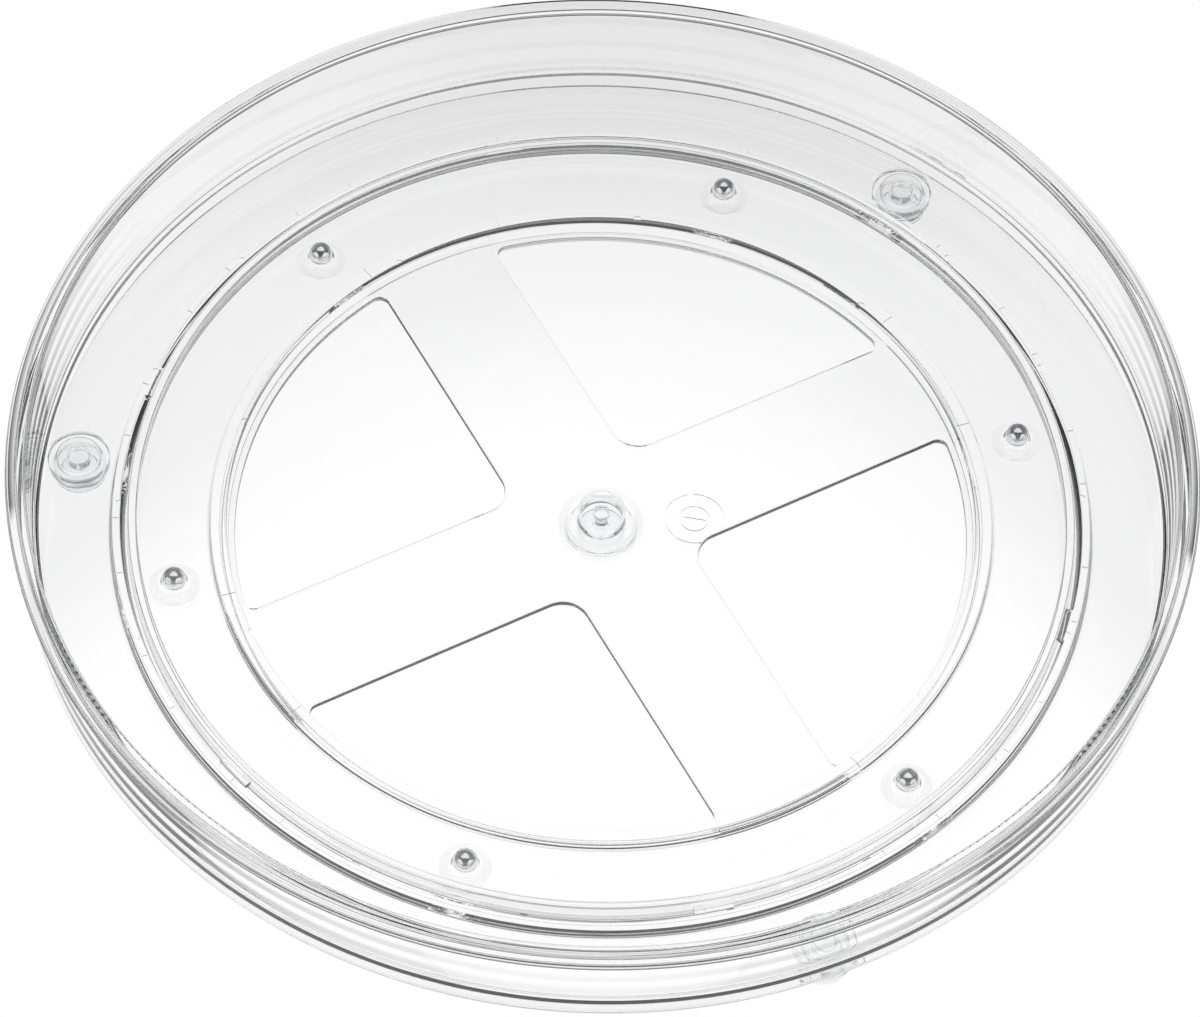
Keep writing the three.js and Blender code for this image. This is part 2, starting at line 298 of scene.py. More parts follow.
@dataclass
class Workshop:
    """The two trees and the joining of solids, shared by every sub-assembly."""

    turning: NodeTree = field(default_factory=turning_tree)
    ring: NodeTree = field(default_factory=ring_tree)
    path_radius: float = 100 * MM

    def turned(self, outline: Outline, segments: int, closed: bool = False) -> bpy.types.Mesh:
        """Turns an outline about the vertical axis.

        Args:
            outline: points of radius and height in metres; an open one starts and ends on the axis.
            segments: how many steps make the full turn.
            closed: whether the outline closes on itself.

        Returns:
            A closed mesh whose faces point outwards.
        """
        count = len(outline)
        edges = [(i, (i + 1) % count) for i in range(count if closed else count - 1)]
        mesh = bpy.data.meshes.new("outline")
        mesh.from_pydata([(r - self.path_radius, -z, 0) for r, z in outline], edges, [])
        return outward(self.turning.run(mesh, Path_radius=self.path_radius, Segments=segments))

    def repeated(self, mesh: bpy.types.Mesh, count: int, start: float) -> bpy.types.Mesh:
        """Repeats a mesh round the vertical axis.

        Args:
            mesh: the shape at angle zero; it is used up.
            count: how many copies.
            start: angle of the first copy, in degrees.

        Returns:
            All copies as one mesh.
        """
        return self.ring.run(mesh, Count=count, Start=math.radians(start))

    def worked(self, blank: bpy.types.Mesh,
               steps: Sequence[tuple[Join, bpy.types.Mesh]]) -> bpy.types.Mesh:
        """Adds and cuts solids one after another.

        Args:
            blank: the solid to start from; it is used up.
            steps: each join and the solid that it works with; these are used up too.

        Returns:
            The worked solid.
        """
        tools = []
        for join, tool in steps:
            holder, cutter = placed("blank", blank), placed("tool", tool)
            modifier = holder.modifiers.new("work", "BOOLEAN")
            modifier.object, modifier.operation, modifier.solver = cutter, join.value, "MANIFOLD"
            blank = plain_mesh(holder)
            tools.append(cutter)
        for cutter in tools:
            mesh = cutter.data
            bpy.data.objects.remove(cutter)
            bpy.data.meshes.remove(mesh)
        return blank


def outward(mesh: bpy.types.Mesh) -> bpy.types.Mesh:
    """Merges a closed mesh's doubles and turns its faces outwards.

    Args:
        mesh: the mesh, changed in place.

    Returns:
        The same mesh.
    """
    work = bmesh.new()
    work.from_mesh(mesh)
    bmesh.ops.remove_doubles(work, verts=work.verts, dist=MERGE_DISTANCE)
    bmesh.ops.dissolve_degenerate(work, edges=work.edges, dist=MERGE_DISTANCE)
    bmesh.ops.recalc_face_normals(work, faces=work.faces)
    if work.calc_volume(signed=True) < 0:
        bmesh.ops.reverse_faces(work, faces=work.faces)
    work.to_mesh(mesh)
    work.free()
    return mesh


def moved(mesh: bpy.types.Mesh, x: float, y: float = 0.0) -> bpy.types.Mesh:
    """Shifts a mesh sideways by millimetres and returns the same mesh."""
    mesh.transform(Matrix.Translation(Vector((x, y, 0)) * MM))
    return mesh


def stacked(levels: Sequence[tuple[float, Outline]]) -> bpy.types.Mesh:
    """Makes a closed solid from outlines of equal length stacked in height.

    Args:
        levels: height in millimetres and flat outline in millimetres, from the bottom up.

    Returns:
        The solid, capped at both ends.
    """
    count = len(levels[0][1])
    verts = [(x * MM, y * MM, z * MM) for z, flat in levels for x, y in flat]
    faces = [[k * count + i, k * count + (i + 1) % count,
              (k + 1) * count + (i + 1) % count, (k + 1) * count + i]
             for k in range(len(levels) - 1) for i in range(count)]
    top = (len(levels) - 1) * count
    faces += [list(range(count))[::-1], list(range(top, top + count))]
    mesh = bpy.data.meshes.new("stack")
    mesh.from_pydata(verts, [], faces)
    return outward(mesh)


def shade(mesh: bpy.types.Mesh) -> None:
    """Shades a mesh smooth, in place, with crisp edges and level faces that stay truly flat."""
    work = bmesh.new()
    work.from_mesh(mesh)
    level = {face for face in work.faces if abs(face.normal.z) > LEVEL_NORMAL}
    for face in work.faces:
        face.smooth = True
    for edge in work.edges:
        sides = [face in level for face in edge.link_faces]
        crisp = edge.calc_face_angle(0.0) > CRISP_ANGLE
        edge.smooth = not (crisp or (any(sides) and not all(sides)))
    work.to_mesh(mesh)
    work.free()


def finished(name: str, mesh: bpy.types.Mesh, material: bpy.types.Material, body: str,
             node: str) -> bpy.types.Object:
    """Makes the finished piece that stands for a CAD node.

    Args:
        name: the piece's name.
        mesh: its mesh, in place.
        material: its finish.
        body: the body that it rides on.
        node: the CAD node that it stands for.

    Returns:
        The piece.
    """
    outward(mesh)
    mesh.materials.clear()
    mesh.materials.append(material)
    mesh.name = name
    shade(mesh)
    piece = placed(name, mesh)
    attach(piece, body)
    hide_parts(node)
    log.info("%s: %d faces on body %s", name, len(piece.data.polygons), body)
    return piece


# ---- finishes -----------------------------------------------------------------------
@dataclass(frozen=True)
class ClearMoulding:
    """Water-clear plastic or elastomer with the slight waviness that a mould leaves."""

    name: str
    colour: str
    ior: float
    gloss: float
    haze: float
    wave_mm: float
    wave_depth_mm: float
    streak_mm: float
    seed: float
    streak_share: float = 0.04

    def material(self) -> bpy.types.Material:
        """Builds the finish.

        Returns:
            A glass-like material with slow waves, flow streaks and faint scuffs.
        """
        material = bpy.data.materials.new(self.name)
        tree = empty_tree(material)
        place = add_node(tree, "ShaderNodeTexCoord")
        waves = add_node(tree, "ShaderNodeTexNoise", noise_dimensions="4D",
                         values={"W": self.seed, "Scale": 1 / (self.wave_mm * MM),
                                 "Detail": 1.0, "Roughness": 0.4},
                         links={"Vector": place.outputs["Object"]})
        streaks = add_node(tree, "ShaderNodeTexWave", wave_type="RINGS", rings_direction="Z",
                           values={"Scale": 0.314 / (self.streak_mm * MM), "Distortion": 2.0,
                                   "Detail": 2.0, "Detail Scale": 1.5},
                           links={"Vector": place.outputs["Object"]})
        mixed = maths(tree, "MULTIPLY_ADD", streaks.outputs["Fac"], self.streak_share,
                      waves.outputs["Fac"])
        bump = add_node(tree, "ShaderNodeBump",
                        values={"Strength": 1.0, "Distance": self.wave_depth_mm * MM},
                        links={"Height": mixed})
        scuffs = add_node(tree, "ShaderNodeTexNoise", noise_dimensions="4D",
                          values={"W": self.seed + 7, "Scale": 1 / (3 * MM), "Detail": 4.0,
                                  "Roughness": 0.7, "Distortion": 0.6},
                          links={"Vector": place.outputs["Object"]})
        rough = add_node(tree, "ShaderNodeMapRange",
                         values={"From Min": 0.55, "From Max": 0.8,
                                 "To Min": self.gloss, "To Max": self.haze},
                         links={"Value": scuffs.outputs["Fac"]})
        shader = add_node(tree, "ShaderNodeBsdfPrincipled",
                          values={"Base Color": linear(self.colour), "IOR": self.ior,
                                  "Transmission Weight": 1.0},
                          links={"Roughness": rough.outputs[0], "Normal": bump.outputs[0]})
        add_node(tree, "ShaderNodeOutputMaterial", links={"Surface": shader.outputs[0]})
        return material


@dataclass(frozen=True)
class BearingSteel:
    """Hardened chrome steel, ground and lapped to a mirror."""

    name: str = "bearing_steel_lapped"
    colour: str = "#F1F2F4"
    stain: str = "#E2E3E6"
    gloss: float = 0.03
    haze: float = 0.12
    grain_mm: float = 0.9

    def material(self) -> bpy.types.Material:
        """Builds the finish: a mirror with faint polishing haze and run-in marks."""
        material = bpy.data.materials.new(self.name)
        tree = empty_tree(material)
        place = add_node(tree, "ShaderNodeTexCoord")
        grain = add_node(tree, "ShaderNodeTexNoise",
                         values={"Scale": 1 / (self.grain_mm * MM), "Detail": 3.0},
                         links={"Vector": place.outputs["Object"]})
        rough = add_node(tree, "ShaderNodeMapRange",
                         values={"From Min": 0.4, "From Max": 0.7,
                                 "To Min": self.gloss, "To Max": self.haze},
                         links={"Value": grain.outputs["Fac"]})
        tone = add_node(tree, "ShaderNodeMix", data_type="RGBA",
                        values={6: linear(self.colour), 7: linear(self.stain)},
                        links={0: grain.outputs["Fac"]})
        shader = add_node(tree, "ShaderNodeBsdfPrincipled", values={"Metallic": 1.0},
                          links={"Base Color": tone.outputs[2], "Roughness": rough.outputs[0]})
        add_node(tree, "ShaderNodeOutputMaterial", links={"Surface": shader.outputs[0]})
        return material


# General-purpose styrene, injection moulded and mould-polished: bright water-clear gloss.
TRAY_STYRENE = ClearMoulding("polystyrene_clear_polished", "#FFFFFF", 1.57, 0.0, 0.006,
                             wave_mm=14.0, wave_depth_mm=0.012, streak_mm=5.0, seed=1.0)
# The same styrene from a plainer mould: slightly more flow waviness in the light it bends.
BASE_STYRENE = ClearMoulding("polystyrene_clear_moulded", "#FFFFFF", 1.57, 0.0, 0.01,
                             wave_mm=9.0, wave_depth_mm=0.018, streak_mm=3.5, seed=2.0)
# Clear soft vinyl, moulded: bends light a little less than the styrene round it, with a
# faint cool tint and a slightly rippled gloss.
FOOT_VINYL = ClearMoulding("soft_vinyl_clear_moulded", "#F6F8F9", 1.50, 0.0, 0.02,
                           wave_mm=2.5, wave_depth_mm=0.02, streak_mm=1.5, seed=3.0)


# ---- tray ---------------------------------------------------------------------------
@dataclass
class Tray:
    """The clear tray: a flat floor, an upright wall with a thick rim, and a guide rib."""

    shop: Workshop
    radius: float
    top: float
    rib_bottom: float
    rim_width: float = 5.2
    rim_depth: float = 3.2
    rim_lip: float = 0.9
    rim_overhang: float = 2.8
    bead_width: float = 2.3
    skirt_radius: float = 150.2
    skirt_bottom: float = 12.475
    wall_inner: float = 147.0
    underside: float = 15.475
    floor_top: float = 17.675
    floor_fillet: float = 2.0
    rib_inner: float = 121.0
    rib_outer: float = 122.7
    bead_radius: float = 123.5
    segments: int = 384

    @classmethod
    def from_frame(cls, shop: Workshop) -> "Tray":
        """Takes the tray's outer sizes from its CAD node."""
        low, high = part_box("tray")
        return cls(shop, radius=high.x / MM, top=high.z / MM, rib_bottom=low.z / MM)

    def outline(self) -> Outline:
        """Draws half of the tray's section.

        Returns:
            Radius and height of each point, from the axis out along the underside and back.
        """
        bottom, rib = self.underside, self.rib_bottom
        fillet, lip, top = self.floor_fillet, self.rim_lip, self.top
        rim_inner = self.radius - self.rim_width
        return rounded([
            Corner(0, bottom),
            Corner(self.rib_inner, bottom, 0.4),
            Corner(self.rib_inner, rib, 0.3),
            Corner(self.bead_radius, rib, 0.35),
            Corner(self.bead_radius, rib + 1.0, 0.3),
            Corner(self.rib_outer, rib + 1.8, 0.2),
            Corner(self.rib_outer, bottom, 0.4),
            Corner(self.wall_inner - 0.4, bottom, 0.5),
            Corner(self.wall_inner + 0.2, self.skirt_bottom, 1.4),
            Corner(self.skirt_radius, self.skirt_bottom, 1.4),
            Corner(self.radius - self.rim_overhang, top - self.rim_depth, 0.5),
            Corner(self.radius, top - self.rim_depth, 0.4),
            Corner(self.radius, top - lip, 0.8),
            Corner(rim_inner + self.bead_width + 0.4, top - lip, 0.3),
            Corner(rim_inner + self.bead_width, top, 0.5),
            Corner(rim_inner, top, 0.8),
            Corner(self.wall_inner, self.floor_top, fillet),
            Corner(0, self.floor_top),
        ])

    def build(self) -> bpy.types.Object:
        """Makes the tray and puts it on its body."""
        mesh = self.shop.turned(self.outline(), self.segments)
        return finished("clear_tray", mesh, TRAY_STYRENE.material(), "tray", "tray")


# ---- base ---------------------------------------------------------------------------
@dataclass
class Base:
    """The base ring with its four spokes, hub, ball cups, snap lugs and foot sockets."""

    shop: Workshop
    radius: float
    bottom: float
    wall_top: float
    ball_circle: float
    ball_height: float
    ball_radius: float
    ball_start: float
    foot_circle: float
    foot_start: float
    ball_count: int = 6
    foot_count: int = 3
    spoke_count: int = 4
    gap: float = 0.3
    plate_top: float = 4.6
    ring_inner: float = 97.5
    ledge_radius: float = 101.8
    ring_top: float = 11.0
    race_top: float = 9.2
    race_bottom: float = 7.2
    wall_foot: tuple[float, float] = (124.0, 128.2)
    wall_crest: tuple[float, float] = (125.2, 127.0)
    flange_top: float = 9.8
    flange_bottom: float = 7.8
    spoke_start: float = 29.8
    spoke_half_width: float = 17.0
    cutout_radius: float = 95.8
    hub_corner: float = 7.0
    ring_corner: float = 2.5
    edge_round: float = 0.7
    hub_radius: float = 6.2
    hub_top: float = 10.6
    hub_skirt: tuple[float, float] = (11.1, 8.8)
    well_radius: float = 5.6
    well_bottom: float = 5.6
    bore: float = 2.2
    cup_radius: float = 4.2
    cup_foot: float = 6.6
    cup_drop: float = 1.2
    pocket_radius: float = 3.6
    lug_inner: float = 123.15
    lug_bottom: float = 12.7
    lug_arc: float = 4.5
    lug_steps: int = 12
    socket_radius: float = 8.1
    socket_bore: float = 5.85
    socket_roof: float = 8.3
    pad_top: float = 4.1
    spigot_radius: float = 2.875
    spigot_bottom: float = 4.9
    mark_width: float = 0.3
    mark_depth: float = 0.25
    pin_radius: float = 1.1
    pin_count: int = 18
    stamp_place: tuple[float, float] = (24.4, 2.2)
    stamp_rings: tuple[float, float] = (7.8, 3.9)
    segments: int = 360
    small_segments: int = 72

    @classmethod
    def from_frame(cls, shop: Workshop) -> "Base":
        """Takes the base's outer sizes and its circles of balls and feet from the CAD nodes."""
        low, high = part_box("base")
        ball_low, ball_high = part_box("ball_1")
        ball = (ball_low + ball_high) / (2 * MM)
        foot_low, foot_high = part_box("outer_foot_1")
        foot = (foot_low + foot_high) / (2 * MM)
        return cls(shop, radius=high.x / MM, bottom=low.z / MM, wall_top=high.z / MM,
                   ball_circle=ball.xy.length, ball_height=ball.z,
                   ball_radius=(ball_high.z - ball_low.z) / (2 * MM),
                   ball_start=math.degrees(math.atan2(ball.y, ball.x)),
                   foot_circle=foot.xy.length,
                   foot_start=math.degrees(math.atan2(foot.y, foot.x)))

    def ring_outline(self) -> Outline:
        """Draws half of the section of the plate, ring, race, race wall and flange."""
        step = self.plate_top + 1.0
        return rounded([
            Corner(self.bore, self.bottom, 0.2),
            Corner(self.ring_inner + 1.6, self.bottom, 0.4),
            Corner(self.ring_inner + 1.9, self.race_bottom, 0.5),
            Corner(self.wall_foot[0] - 1.0, self.race_bottom, 0.5),
            Corner(self.wall_foot[0], self.flange_bottom, 0.4),
            Corner(self.radius, self.flange_bottom, 0.5),
            Corner(self.radius, self.flange_top, 0.5),
            Corner(self.wall_foot[1], self.flange_top, 0.8),
            Corner(self.wall_crest[1], self.wall_top, 0.4),
            Corner(self.wall_crest[0], self.wall_top, 0.4),
            Corner(self.wall_foot[0], self.race_top, 0.8),
            Corner(self.ledge_radius + 0.8, self.race_top, 0.8),
            Corner(self.ledge_radius, self.ring_top, 0.4),
            Corner(self.ring_inner + 0.3, self.ring_top, 0.4),
            Corner(self.ring_inner, self.plate_top, 1.0),
            Corner(self.hub_skirt[0], self.plate_top, 0.3),
            Corner(self.hub_skirt[1], step, 0.3),
            Corner(self.hub_radius, step, 0.3),
            Corner(self.hub_radius, self.hub_top, 0.3),
            Corner(self.well_radius, self.hub_top, 0.3),
            Corner(self.well_radius, self.well_bottom, 0.3),
            Corner(self.bore, self.well_bottom, 0.2),
        ], closed=True)

    def opening_outline(self, grow: float) -> Outline:
        """Draws one quarter opening, with its spokes along X and Y.

        Args:
            grow: how far its edges are moved outwards, in millimetres.

        Returns:
            The flat outline in millimetres, anticlockwise.
        """
        edge, reach_out = self.spoke_half_width - grow, self.cutout_radius + grow
        big, small = self.hub_corner + grow, self.ring_corner + grow
        inner = self.spoke_half_width + self.hub_corner
        side = edge + small
        reach = math.sqrt((reach_out - small) ** 2 - side ** 2)
        turn = math.degrees(math.atan2(side, reach))
        return [
            *arc(inner, inner, big, 180, 270, 10),
            *arc(reach, side, small, -90, turn, 8),
            *arc(0, 0, reach_out, turn, 90 - turn, 60)[1:-1],
            *arc(side, reach, small, 90 - turn, 180, 8),
        ]

    def openings(self) -> bpy.types.Mesh:
        """Makes the tool that cuts the four openings and leaves their edges full round."""
        middle, half = (self.bottom + self.plate_top) / 2, (self.plate_top - self.bottom) / 2
        turns = [math.radians(-90 + 15 * k) for k in range(13)]
        levels = [(middle + half * math.sin(a), self.edge_round * (1 - math.cos(a)))
                  for a in turns]
        below, above = self.bottom - 3, self.plate_top + 8
        levels = [(below, self.edge_round), *levels, (above, self.edge_round)]
        tool = stacked([(z, self.opening_outline(grow)) for z, grow in levels])
        return self.shop.repeated(tool, self.spoke_count, self.spoke_start)

    def at_balls(self, outline: Outline) -> bpy.types.Mesh:
        """Turns an outline and puts a copy round every ball."""
        mesh = moved(self.shop.turned(outline, self.small_segments), self.ball_circle)
        return self.shop.repeated(mesh, self.ball_count, self.ball_start)

    def at_feet(self, outline: Outline) -> bpy.types.Mesh:
        """Turns an outline and puts a copy round every outer foot."""
        mesh = moved(self.shop.turned(outline, self.small_segments), self.foot_circle)
        return self.shop.repeated(mesh, self.foot_count, self.foot_start)

    def cups(self) -> bpy.types.Mesh:
        """Makes the low cones round the balls."""
        top = self.ball_height - self.cup_drop
        return self.at_balls(rounded([
            Corner(0, self.race_bottom + 0.2),
            Corner(self.cup_foot, self.race_bottom + 0.2),
            Corner(self.cup_foot, self.race_top, 0.1),
            Corner(self.cup_radius, top, 0.2),
            Corner(0, top),
        ]))

    def pockets(self) -> bpy.types.Mesh:
        """Makes the tool that cuts the upright pockets, a little wider than the balls."""
        bottom = self.ball_height - self.ball_radius - self.gap
        return self.at_balls(rounded([
            Corner(0, bottom),
            Corner(self.pocket_radius, bottom, 0.5),
            Corner(self.pocket_radius, self.ball_height),
            Corner(0, self.ball_height),
        ]))

    def lugs(self) -> bpy.types.Mesh:
        """Makes the snap lugs inside the race wall, midway between the balls."""
        middle = sum(self.wall_crest) / 2
        section = [(self.lug_inner, self.lug_bottom + 0.5), (middle, self.lug_bottom - 1.0),
                   (middle, self.wall_top), (self.lug_inner, self.wall_top)]
        steps = self.lug_steps
        verts = []
        for k in range(steps + 1):
            a = math.radians(self.lug_arc * (k / steps - 0.5))
            verts += [(r * math.cos(a) * MM, r * math.sin(a) * MM, z * MM) for r, z in section]
        faces = [[4 * k + i, 4 * k + (i + 1) % 4, 4 * k + 4 + (i + 1) % 4, 4 * k + 4 + i]
                 for k in range(steps) for i in range(4)]
        faces += [[3, 2, 1, 0], [4 * steps + i for i in range(4)]]
        mesh = bpy.data.meshes.new("lug")
        mesh.from_pydata(verts, [], faces)
        return self.shop.repeated(outward(mesh), self.ball_count,
                                  self.ball_start + 180 / self.ball_count)

    def sockets(self) -> bpy.types.Mesh:
        """Makes the bosses round the outer feet."""
        return self.at_feet(rounded([
            Corner(0, self.pad_top + self.gap),
            Corner(self.socket_radius, self.pad_top + self.gap, 0.4),
            Corner(self.socket_radius, self.flange_top - 0.2),
            Corner(0, self.flange_top - 0.2),
        ]))

    def socket_bores(self) -> bpy.types.Mesh:
        """Makes the tool that hollows the bosses round their spigots."""
        bottom = self.pad_top - 1
        return self.at_feet(rounded([
            Corner(0, bottom),
            Corner(self.socket_bore, bottom),
            Corner(self.socket_bore, self.socket_roof, 0.3),
            Corner(self.spigot_radius, self.socket_roof, 0.3),
            Corner(self.spigot_radius, self.spigot_bottom, 0.3),
            Corner(0, self.spigot_bottom),
        ]))

    def slots(self, inner: float, outer: float, top: float, count: int,
              start: float) -> bpy.types.Mesh:
        """Makes the tool for short radial witness lines.

        Args:
            inner: where each line starts, in millimetres from the axis.
            outer: where it ends.
            top: height of the face that it is cut in.
            count: how many lines.
            start: angle of the first one, in degrees.

        Returns:
            The tool.
        """
        half, depth = self.mark_width / 2, self.mark_depth
        flat = [(inner, -half), (outer, -half), (outer, half), (inner, half)]
        tool = stacked([(top - depth, flat), (top + 1, flat)])
        return self.shop.repeated(tool, count, start)

    def half_moons(self, radius: float, top: float, count: int, start: float) -> bpy.types.Mesh:
        """Makes the tool for the half-moon marks that the ejector pins leave.

        Args:
            radius: distance of the pins from the axis, in millimetres.
            top: height of the face that they press on.
            count: how many pins.
            start: angle of the first one, in degrees.

        Returns:
            The tool.
        """
        flat = arc(radius, 0, self.pin_radius, 0, 345, 23)
        tool = stacked([(top - self.mark_depth, flat), (top + 1, flat)])
        return self.shop.repeated(tool, count, start)

    def stamp(self) -> list[tuple[Join, bpy.types.Mesh]]:
        """Makes the tools for the moulder's date ring: two circles and a pointer line."""
        x, y = self.stamp_place
        bottom, half = self.plate_top - self.mark_depth, self.mark_width / 2
        tools = []
        for radius in self.stamp_rings:
            inner, outer = radius - half, radius + half
            outline = rounded([Corner(inner, bottom), Corner(outer, bottom),
                               Corner(outer, bottom + 1), Corner(inner, bottom + 1)],
                              closed=True)
            ring = self.shop.turned(outline, self.small_segments, closed=True)
            tools.append((Join.CUT, moved(ring, x, y)))
        reach = self.stamp_rings[-1] - 0.9
        flat = [(-reach, -half), (reach, -half), (reach, half), (-reach, half)]
        bar = stacked([(bottom, flat), (bottom + 1, flat)])
        bar.transform(Matrix.Rotation(math.radians(-8), 4, "Z"))
        return [*tools, (Join.CUT, moved(bar, x, y))]

    def marks(self) -> list[tuple[Join, bpy.types.Mesh]]:
        """Makes the tools for all the small marks that the mould leaves on the base."""
        crest, ledge = self.wall_crest, (self.ring_inner + 0.3, self.ledge_radius)
        side = math.degrees(math.asin(self.spoke_half_width / self.cutout_radius))
        pitch = 360 / self.pin_count
        tools = [
            (Join.CUT, self.half_moons(crest[0], self.wall_top, self.pin_count, 3.0)),
            (Join.CUT, self.slots(crest[0] + 0.2, crest[1] + 0.5, self.wall_top,
                                  self.pin_count, 5.1)),
            (Join.CUT, self.slots(crest[0] + 0.2, crest[1] + 0.5, self.wall_top,
                                  self.pin_count, 3.0 + pitch / 2)),
            (Join.CUT, self.half_moons(ledge[0], self.ring_top, self.pin_count // 2, 6.0)),
        ]
        for turn in (-side - 1.2, side + 1.2):
            tools.append((Join.CUT, self.slots(ledge[0] + 0.4, ledge[1] + 1, self.ring_top,
                                               self.spoke_count, self.spoke_start + turn)))
        return [*tools, *self.stamp()]

    def build(self) -> bpy.types.Object:
        """Makes the base and puts it on its body."""
        blank = self.shop.turned(self.ring_outline(), self.segments, closed=True)
        mesh = self.shop.worked(blank, [
            (Join.CUT, self.openings()),
            (Join.ADD, self.lugs()),
            (Join.ADD, self.cups()),
            (Join.CUT, self.pockets()),
            (Join.ADD, self.sockets()),
            (Join.CUT, self.socket_bores()),
            *self.marks(),
        ])
        return finished("base_ring", mesh, BASE_STYRENE.material(), "base", "base")


def arc(x: float, y: float, radius: float, start: float, end: float, steps: int) -> Outline:
    """Points on an arc, angles in degrees, both ends included."""
    turns = [math.radians(start + (end - start) * k / steps) for k in range(steps + 1)]
    return [(x + radius * math.cos(a), y + radius * math.sin(a)) for a in turns]


def ball_outline(radius: float, height: float, steps: int = 36) -> Outline:
    """Half of a ball's section, from its lowest point to its highest.

    Args:
        radius: the ball's radius, in millimetres.
        height: its centre's height, in millimetres.
        steps: how many straight pieces make the half circle.

    Returns:
        Radius and height of each point, in metres.
    """
    turns = [math.pi * k / steps for k in range(steps + 1)]
    return [(abs(radius * math.sin(a)) * MM if 0 < k < steps else 0.0,
             (height - radius * math.cos(a)) * MM) for k, a in enumerate(turns)]


# ---- balls and feet -----------------------------------------------------------------
@dataclass
class BallSet:
    """The six steel balls."""

    shop: Workshop
    count: int = 6
    segments: int = 72

    def build(self) -> list[bpy.types.Object]:
        """Makes each ball where its CAD node is."""
        finish = BearingSteel().material()
        made = []
        for number in range(1, self.count + 1):
            low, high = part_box(f"ball_{number}")
            centre = (low + high) / (2 * MM)
            radius = (high.z - low.z) / (2 * MM)
            mesh = self.shop.turned(ball_outline(radius, centre.z), self.segments)
            made.append(finished(f"steel_ball_{number}", moved(mesh, centre.x, centre.y), finish,
                                 f"ball_{number}", f"ball_{number}"))
        return made


@dataclass
class OuterFeet:
    """The three soft feet, each with a sleeve pushed over the spigot in its socket."""

    shop: Workshop
    count: int = 3
    sleeve_radius: float = 5.55
    hole_radius: float = 3.175
    hole_bottom: float = 4.6
    pad_top: float = 4.1
    segments: int = 72

    def build(self) -> list[bpy.types.Object]:
        """Makes each foot where its CAD node is."""
        finish = FOOT_VINYL.material()
        made = []
        for number in range(1, self.count + 1):
            low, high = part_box(f"outer_foot_{number}")
            centre = (low + high) / (2 * MM)
            radius, top = (high.x - low.x) / (2 * MM), high.z / MM
            outline = rounded([
                Corner(0, 0.35),
                Corner(radius - 2.4, 0.35, 0.3),
                Corner(radius - 2.0, 0.0, 0.3),
                Corner(radius, 0.0, 0.9),
                Corner(radius, self.pad_top, 0.6),
                Corner(self.sleeve_radius, self.pad_top, 0.3),
                Corner(self.sleeve_radius, top, 0.4),
                Corner(self.hole_radius, top, 0.3),
                Corner(self.hole_radius, self.hole_bottom, 0.3),
                Corner(0, self.hole_bottom),
            ])
            mesh = self.shop.turned(outline, self.segments)
            made.append(finished(f"soft_foot_{number}", moved(mesh, centre.x, centre.y), finish,
                                 "base", f"outer_foot_{number}"))
        return made


@dataclass
class CentreFoot:
    """The soft foot under the hub, held by a barbed stem."""

    shop: Workshop
    plate_gap_top: float = 2.3
    stem_radius: float = 1.9
    barb_radius: float = 2.45
    barb_bottom: float = 5.9
    segments: int = 72

    def build(self) -> bpy.types.Object:
        """Makes the foot where its CAD node is."""
        low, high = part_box("centre_foot")
        radius, top = high.x / MM, high.z / MM
        outline = rounded([
            Corner(0, 0.35),
            Corner(radius - 3.0, 0.35, 0.3),
            Corner(radius - 2.6, 0.0, 0.3),
            Corner(radius, 0.0, 0.8),
            Corner(radius, self.plate_gap_top, 0.5),
            Corner(self.stem_radius, self.plate_gap_top, 0.2),
            Corner(self.stem_radius, self.barb_bottom, 0.1),
            Corner(self.barb_radius, self.barb_bottom + 0.2, 0.2),
            Corner(self.barb_radius - 0.3, top, 0.4),
            Corner(0, top),
        ])
        mesh = self.shop.turned(outline, self.segments)
        return finished("centre_soft_foot", mesh, FOOT_VINYL.material(), "base",
                        "centre_foot")


